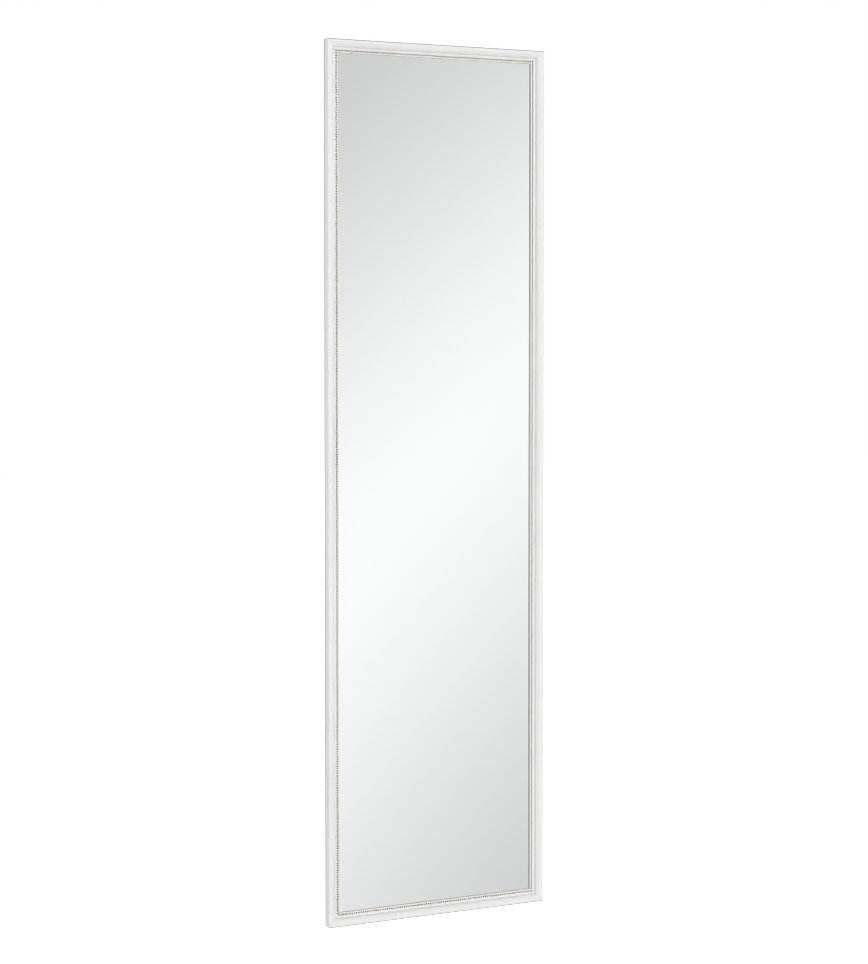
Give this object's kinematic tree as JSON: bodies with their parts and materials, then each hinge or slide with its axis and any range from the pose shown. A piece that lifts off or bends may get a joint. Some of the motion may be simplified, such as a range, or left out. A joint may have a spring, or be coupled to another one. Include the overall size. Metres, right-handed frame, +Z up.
{
  "type": "over the door mirror",
  "caption": "Tall slim mirror in a white mitred moulding with a row of gilt pearls, hung over a door by two sliding hooks, or on a wall by two hinged rings.",
  "frame": {"origin": "top front edge of the door, midway between the two hooks, with the hooks pushed right down", "axes": "+Z up, -Y the way the glass looks, +X to the right of someone who looks into the mirror"},
  "size_m": [0.34, 0.0745, 1.24],
  "materials": {
    "white_moulding": "satin white moulded polystyrene",
    "pearl_trim": "polished pale gilt pearls on a thin string",
    "silvered_glass": "plain silvered float glass, faintly green",
    "hardboard": "brown hardboard, smooth face outwards",
    "spring_steel": "bare spring steel",
    "zinc_plate": "bright zinc-plated sheet steel",
    "screw_steel": "zinc-plated screw steel",
    "white_enamel": "white powder coat on steel strip",
    "grey_foam": "closed-cell foam",
    "brassed_steel": "brass-plated steel",
    "bumper_rubber": "pale soft rubber"
  },
  "bodies": {
    "mirror": {"left_stile": "white_moulding", "right_stile": "white_moulding", "top_rail": "white_moulding", "bottom_rail": "white_moulding", "left_pearls": "pearl_trim", "right_pearls": "pearl_trim", "top_pearls": "pearl_trim", "bottom_pearls": "pearl_trim", "mirror_glass": "silvered_glass", "backing_board": "hardboard", "retaining_points": "spring_steel", "corner_nails": "spring_steel", "left_guide": "zinc_plate", "right_guide": "zinc_plate", "guide_screws": "screw_steel", "left_ring_plate": "brassed_steel", "right_ring_plate": "brassed_steel", "ring_screws": "screw_steel", "rear_bumpers": "bumper_rubber"},
    "left_hook": {"left_hook": "white_enamel", "left_hook_pads": "grey_foam"},
    "right_hook": {"right_hook": "white_enamel", "right_hook_pads": "grey_foam"},
    "left_clamp": {"left_clamp_screw": "screw_steel"},
    "right_clamp": {"right_clamp_screw": "screw_steel"},
    "left_wall_ring": {"left_ring": "brassed_steel"},
    "right_wall_ring": {"right_ring": "brassed_steel"}
  },
  "joints": [
    {"name": "left_hook_slide", "type": "slide", "parent": "mirror", "child": "left_hook", "axis": [0, 0, 1], "range_m": [0, 0.12]},
    {"name": "right_hook_slide", "type": "slide", "parent": "mirror", "child": "right_hook", "axis": [0, 0, 1], "range_m": [0, 0.12]},
    {"name": "left_clamp_turn", "type": "hinge", "parent": "mirror", "child": "left_clamp", "pos_m": [-0.095, -0.003, -0.0052], "axis": [0, 1, 0], "range_deg": [0, 360]},
    {"name": "right_clamp_turn", "type": "hinge", "parent": "mirror", "child": "right_clamp", "pos_m": [0.095, -0.003, -0.0052], "axis": [0, 1, 0], "range_deg": [0, 360]},
    {"name": "left_ring_swing", "type": "hinge", "parent": "mirror", "child": "left_wall_ring", "pos_m": [-0.1607, -0.00614, -0.1965], "axis": [1, 0, 0], "range_deg": [0, 180]},
    {"name": "right_ring_swing", "type": "hinge", "parent": "mirror", "child": "right_wall_ring", "pos_m": [0.1607, -0.00614, -0.1965], "axis": [1, 0, 0], "range_deg": [0, 180]}
  ]
}
